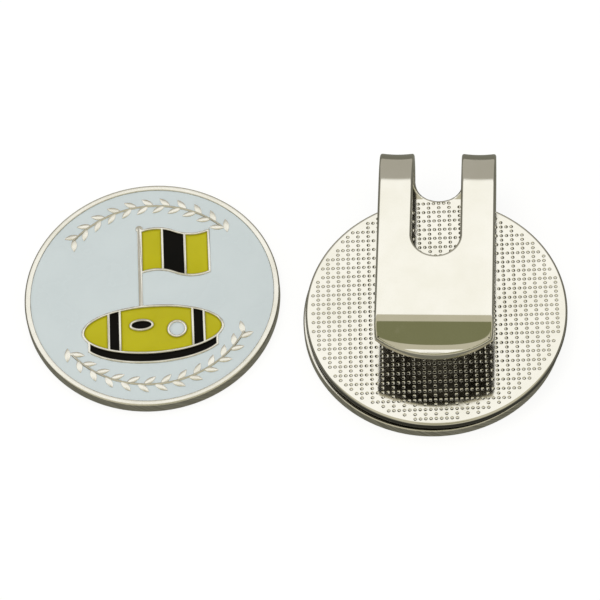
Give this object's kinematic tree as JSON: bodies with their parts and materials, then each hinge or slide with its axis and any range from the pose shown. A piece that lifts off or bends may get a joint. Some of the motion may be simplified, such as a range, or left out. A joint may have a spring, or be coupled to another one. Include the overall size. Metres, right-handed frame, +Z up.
{
  "type": "golf ball marker with magnetic hat clip",
  "caption": "Round enamelled golf ball marker lying face up beside its magnetic hat clip, a dimpled plate with a folded spring tongue.",
  "frame": {"origin": "centre of the set's bounding box, on the surface that both pieces lie on", "axes": "+X from the marker towards the clip, +Y from the clip's tongue tip towards its fold, +Z up"},
  "size_m": [0.053, 0.0284, 0.0089],
  "materials": {
    "marker_nickel": "bright nickel plate over struck iron",
    "enamel_white": "soft enamel, semi-gloss",
    "enamel_yellow": "soft enamel, semi-gloss",
    "enamel_black": "soft enamel, semi-gloss",
    "clip_nickel": "polished nickel plate, dimpled on the plate",
    "cup_nickel": "satin nickel plate",
    "magnet_nickel": "nickel plated magnet",
    "glue": "cured epoxy",
    "solder": "dull grey solder"
  },
  "bodies": {
    "clip": {"clip_plate": "clip_nickel", "magnet_cup": "cup_nickel", "magnet": "magnet_nickel", "magnet_glue": "glue", "solder_film": "solder"},
    "tongue": {"clip_tongue": "clip_nickel"},
    "marker": {"marker_blank": "marker_nickel", "enamel_field": "enamel_white", "enamel_ball": "enamel_white", "enamel_flag_hoist": "enamel_yellow", "enamel_flag_band": "enamel_black", "enamel_flag_fly": "enamel_yellow", "enamel_green_left": "enamel_yellow", "enamel_stripe_left": "enamel_black", "enamel_green_middle": "enamel_yellow", "enamel_stripe_right": "enamel_black", "enamel_green_right": "enamel_yellow", "enamel_green_lip": "enamel_black", "enamel_hole": "enamel_black"}
  },
  "joints": [
    {"name": "tongue_flex", "type": "hinge", "parent": "clip", "child": "tongue", "pos_m": [0.01383, 0.01415, 0.00476], "axis": [-1, 0, 0], "range_deg": [0, 8], "stiffness_Nm_per_rad": 1.4},
    {"name": "marker_lift", "type": "slide", "parent": "clip", "child": "marker", "axis": [0, 0, 1], "range_m": [0, 0.015]}
  ]
}
